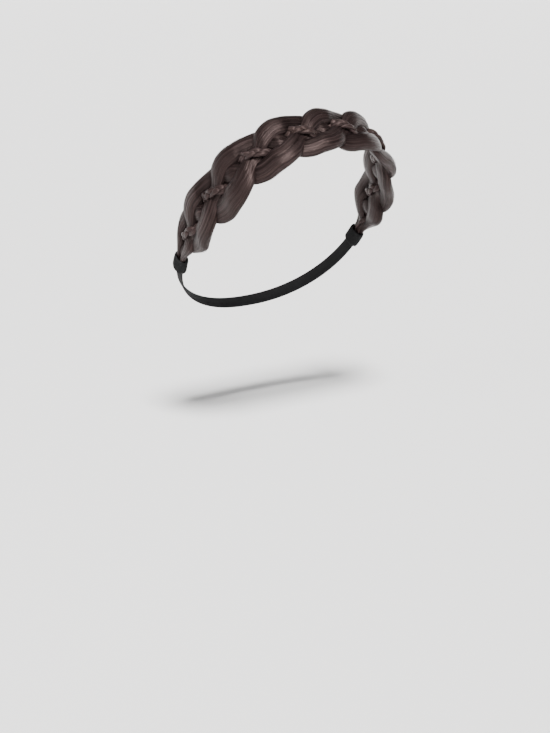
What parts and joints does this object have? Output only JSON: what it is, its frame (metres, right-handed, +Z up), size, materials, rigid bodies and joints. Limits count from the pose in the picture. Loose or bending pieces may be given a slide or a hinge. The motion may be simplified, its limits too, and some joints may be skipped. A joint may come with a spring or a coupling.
{
  "type": "braided headband",
  "caption": "Chunky dark-brown braid of synthetic hair, thick hanks laced with a thin plait, worn as a headband on a narrow elastic strap.",
  "frame": {"origin": "seat on the crown: the middle of the braid's length and width, on its inner side, where it rests on the head", "axes": "+Z up as worn, face towards -Y, +X towards the wearer's left ear; the loop's plane leans back 35.4 degrees from vertical"},
  "size_m": [0.1916, 0.1437, 0.1873],
  "materials": {
    "hair": "satin dark brown synthetic hair, combed smooth, with fine fibre streaks",
    "mini_plait": "satin dark brown synthetic hair in a fine tight plait",
    "binding": "matt black thread wound round the gathered ends",
    "elastic": "matt black ribbed woven elastic"
  },
  "bodies": {
    "root": {"hair_strand_1": "hair", "hair_strand_2": "hair", "hair_strand_3": "hair", "mini_plait_strand_1": "mini_plait", "mini_plait_strand_2": "mini_plait", "mini_plait_strand_3": "mini_plait", "end_binding_right": "binding", "end_binding_left": "binding", "elastic_strap": "elastic"}
  },
  "joints": []
}
